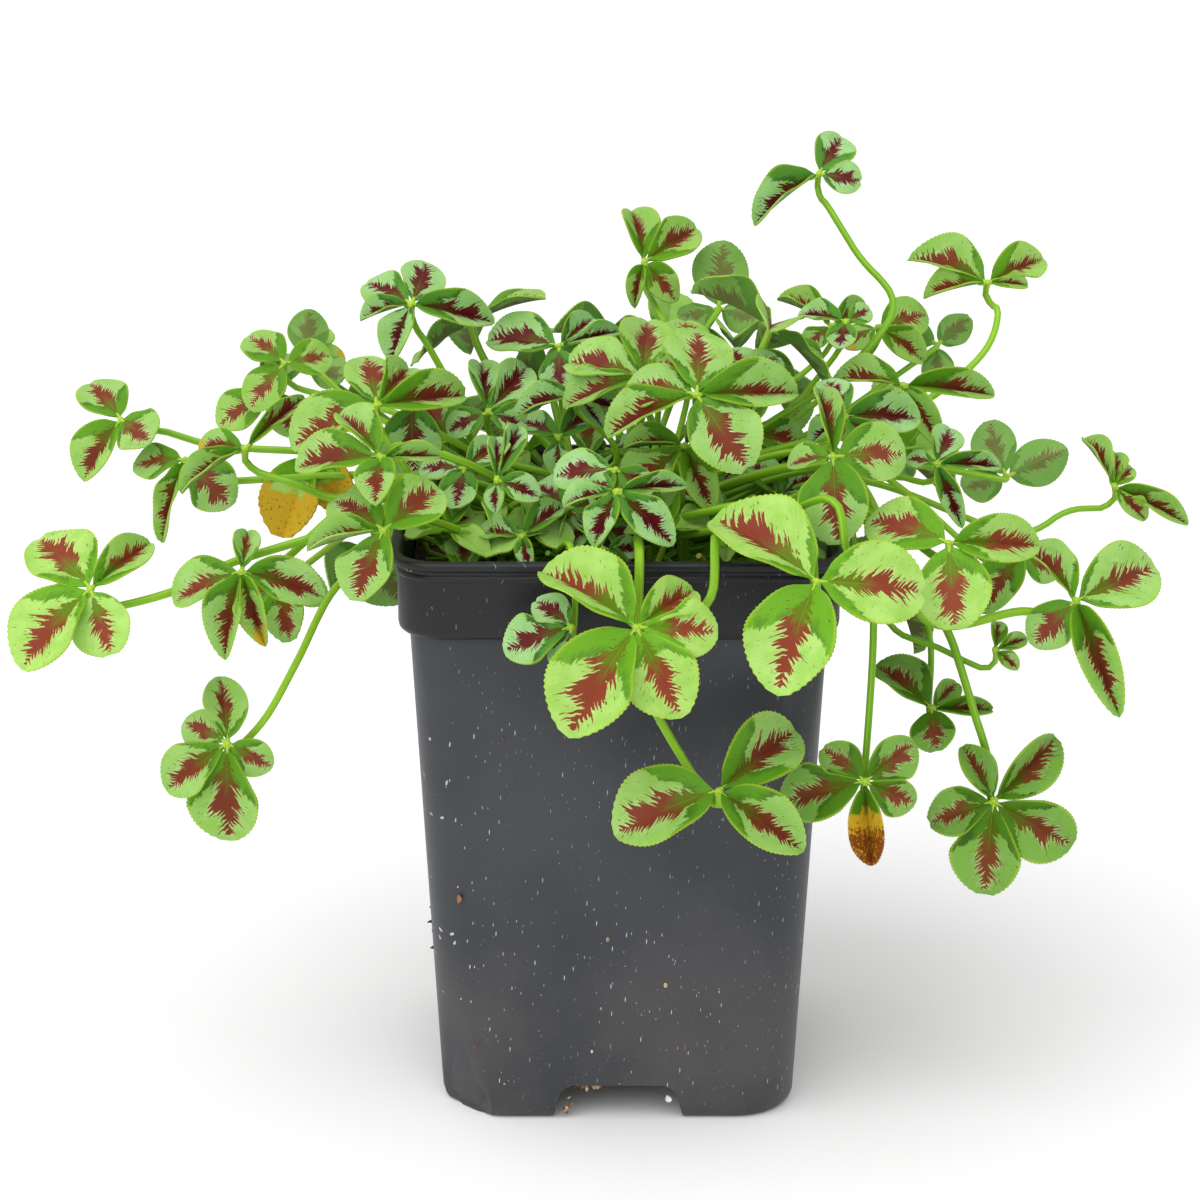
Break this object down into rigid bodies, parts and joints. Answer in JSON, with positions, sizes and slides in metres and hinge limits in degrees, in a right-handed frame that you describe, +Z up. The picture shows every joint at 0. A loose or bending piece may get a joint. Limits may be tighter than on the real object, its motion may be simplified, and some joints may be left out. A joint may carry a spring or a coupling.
{
  "type": "potted clover",
  "caption": "Clover plant with red-feathered leaves on long arching stalks, growing in a square black plastic nursery pot filled with dark soil",
  "frame": {"origin": "on the ground, under the middle of the pot and its spread of leaves", "axes": "+Z up, +X to the right and -Y to the front as in the picture; the leaves spread widest along X"},
  "size_m": [0.2456, 0.1588, 0.1984],
  "materials": {
    "pot_plastic": "satin moulded black plastic with fine pale scratches",
    "peat": "rough damp peat with white perlite grains",
    "clover_leaf": "soft satin leaf, pale margin and dark red feather along the midrib"
  },
  "bodies": {
    "root": {"pot": "pot_plastic", "soil": "peat", "leafy_stem_01": "clover_leaf", "leafy_stem_02": "clover_leaf", "leafy_stem_03": "clover_leaf", "leafy_stem_04": "clover_leaf", "leafy_stem_05": "clover_leaf", "leafy_stem_06": "clover_leaf", "leafy_stem_07": "clover_leaf", "leafy_stem_08": "clover_leaf", "leafy_stem_09": "clover_leaf", "leafy_stem_10": "clover_leaf", "leafy_stem_11": "clover_leaf", "leafy_stem_12": "clover_leaf", "leafy_stem_13": "clover_leaf"}
  },
  "joints": []
}
